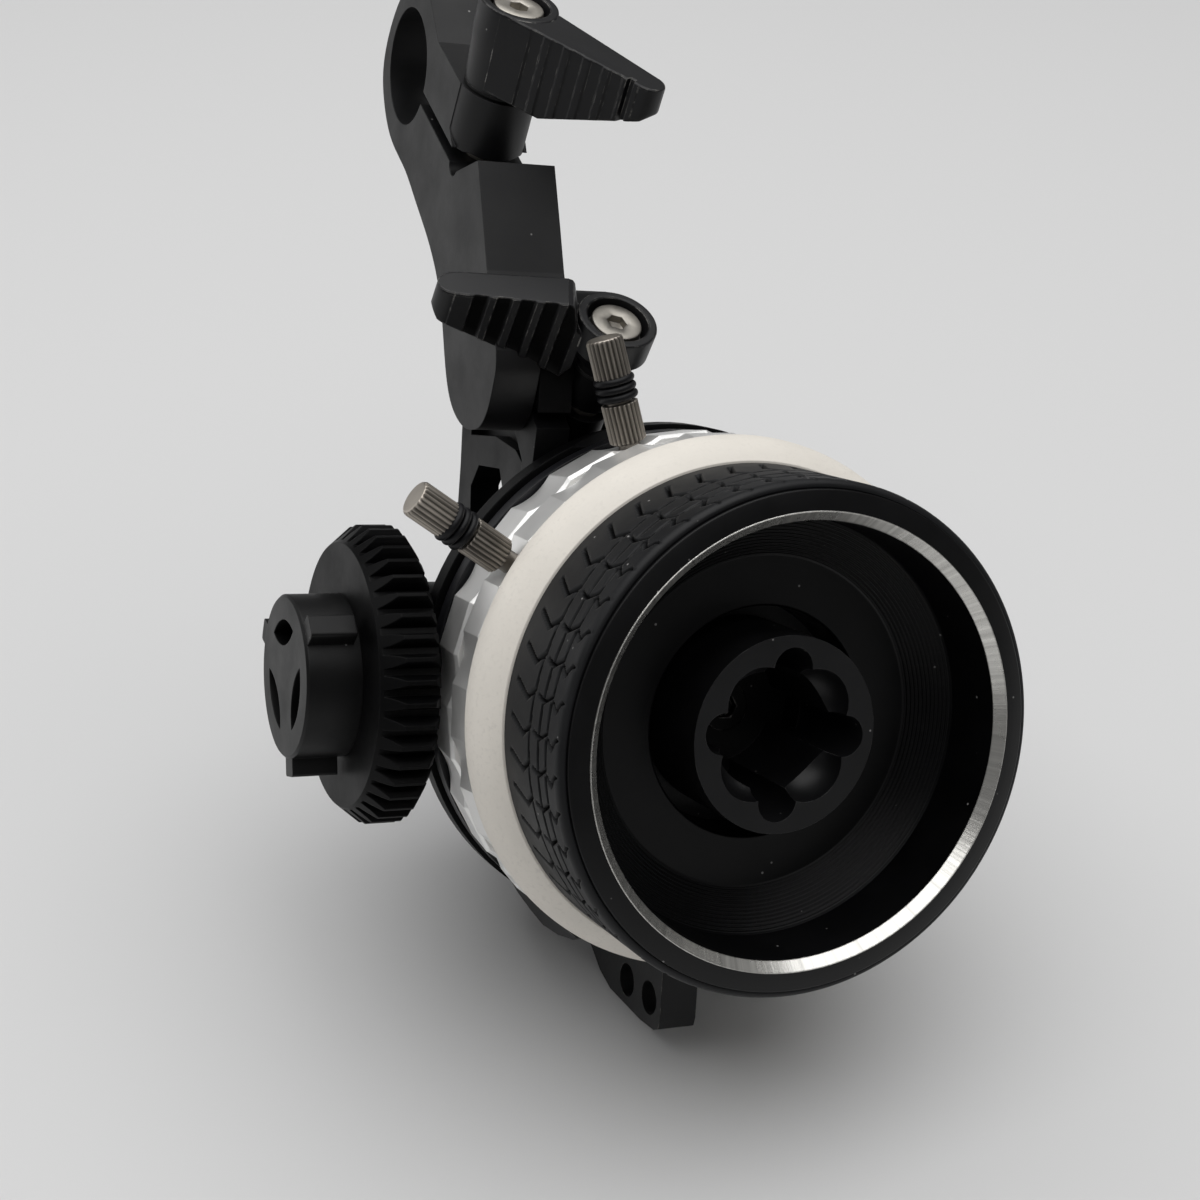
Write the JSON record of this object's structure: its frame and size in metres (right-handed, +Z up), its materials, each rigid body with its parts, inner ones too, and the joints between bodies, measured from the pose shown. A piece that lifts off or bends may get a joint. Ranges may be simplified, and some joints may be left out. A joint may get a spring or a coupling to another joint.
{
  "type": "follow focus unit",
  "caption": "Follow focus: a hand wheel with a marking disk and stop rings turns a toothed gear through bevel gears, on a swinging arm that clamps to a round rod.",
  "frame": {"origin": "centre of the rod bore, in the middle of the arm's thickness", "axes": "+X along the rod, away from the drive gear; the hand wheel faces -Y; +Z up, square to both shafts"},
  "size_m": [0.078, 0.0869, 0.1265],
  "materials": {
    "wheel_black": "black anodised, polished chamfer",
    "socket_black": "black anodised",
    "grip_rubber": "moulded block tread",
    "marking_white": "warm white, matt, for pencil marks",
    "ring_aluminium": "polished, turned",
    "pin_steel": "knurled",
    "o_ring_rubber": "smooth",
    "spacer_black": "satin",
    "housing_black": "black anodised, bead blasted",
    "bracket_black": "black anodised",
    "gear_black": "black anodised",
    "knob_black": "black anodised",
    "arm_black": "black anodised, bead blasted",
    "lever_black": "black, worn bright at the edges",
    "screw_steel": "stainless",
    "black_screw": "blackened",
    "washer_steel": "plain",
    "shaft_steel": "ground",
    "bevel_steel": "cut teeth",
    "bush_bronze": "sintered bronze",
    "ring_steel": "spring steel"
  },
  "bodies": {
    "housing": {"gearbox_housing": "housing_black", "rear_cover": "housing_black", "rear_cover_screws": "black_screw", "foot_bracket": "bracket_black", "foot_screws": "black_screw", "wheel_shaft_bush": "bush_bronze", "gear_shaft_bushes": "bush_bronze", "ring_spacer": "spacer_black", "ring_circlip": "ring_steel", "lock_lever_washer": "washer_steel"},
    "hand_wheel": {"handwheel_dish": "wheel_black", "crank_socket": "socket_black", "crank_socket_screw": "screw_steel", "rubber_grip": "grip_rubber", "disk_keeper_ring": "ring_steel", "wheel_shaft": "shaft_steel", "wheel_bevel_gear": "bevel_steel"},
    "white_disk": {"marking_disk": "marking_white"},
    "front_ring": {"stop_ring_front": "ring_aluminium"},
    "rear_ring": {"stop_ring_rear": "ring_aluminium"},
    "front_pin": {"stop_pin_front": "pin_steel", "stop_pin_front_o_rings": "o_ring_rubber"},
    "rear_pin": {"stop_pin_rear": "pin_steel", "stop_pin_rear_o_rings": "o_ring_rubber"},
    "gear_train": {"gear_shaft": "shaft_steel", "shaft_bevel_gear": "bevel_steel", "drive_gear": "gear_black"},
    "knob": {"gear_knob": "knob_black"},
    "arm": {"swing_arm": "arm_black", "swing_spindle": "shaft_steel", "clamp_lever_washer": "washer_steel"},
    "clamp_lever": {"clamp_lever_handle": "lever_black", "clamp_lever_screw": "screw_steel"},
    "lock_lever": {"lock_lever_handle": "lever_black", "lock_lever_screw": "screw_steel"}
  },
  "joints": [
    {"name": "hand_wheel_turn", "type": "hinge", "parent": "housing", "child": "hand_wheel", "pos_m": [0.018, -0.032, -0.0743], "axis": [0, -1, 0], "continuous": true},
    {"name": "gear_turn", "type": "hinge", "parent": "housing", "child": "gear_train", "pos_m": [0.018, -0.032, -0.0743], "axis": [-1, 0, 0], "continuous": true},
    {"name": "marking_disk_turn", "type": "hinge", "parent": "hand_wheel", "child": "white_disk", "pos_m": [0.018, -0.032, -0.0743], "axis": [0, -1, 0], "continuous": true},
    {"name": "front_stop_ring_turn", "type": "hinge", "parent": "housing", "child": "front_ring", "pos_m": [0.018, -0.032, -0.0743], "axis": [0, 1, 0], "range_deg": [-20, 225]},
    {"name": "rear_stop_ring_turn", "type": "hinge", "parent": "housing", "child": "rear_ring", "pos_m": [0.018, -0.032, -0.0743], "axis": [0, 1, 0], "range_deg": [-46, 0]},
    {"name": "front_stop_pin_turn", "type": "hinge", "parent": "front_ring", "child": "front_pin", "pos_m": [-0.0073, -0.05155, -0.05818], "axis": [-0.8434, 0, 0.5373], "continuous": true},
    {"name": "rear_stop_pin_turn", "type": "hinge", "parent": "rear_ring", "child": "rear_pin", "pos_m": [0.00873, -0.04655, -0.04577], "axis": [-0.309, 0, 0.9511], "continuous": true},
    {"name": "gear_knob_turn", "type": "hinge", "parent": "gear_train", "child": "knob", "pos_m": [-0.025, -0.032, -0.0743], "axis": [-1, 0, 0], "continuous": true},
    {"name": "arm_swing", "type": "hinge", "parent": "housing", "child": "arm", "pos_m": [0, -0.0274, -0.0361], "axis": [-1, 0, 0], "range_deg": [0, 55]},
    {"name": "clamp_lever_turn", "type": "hinge", "parent": "arm", "child": "clamp_lever", "pos_m": [0, -0.016, -0.0105], "axis": [0, -0.5255, 0.8508], "range_deg": [-90, 90]},
    {"name": "lock_lever_turn", "type": "hinge", "parent": "housing", "child": "lock_lever", "pos_m": [0.0084, -0.03307, -0.04069], "axis": [0, -0.6293, 0.7771], "range_deg": [0, 20]}
  ],
  "couplings": [
    {"joint": "gear_turn", "follows": "hand_wheel_turn", "ratio": -1}
  ]
}
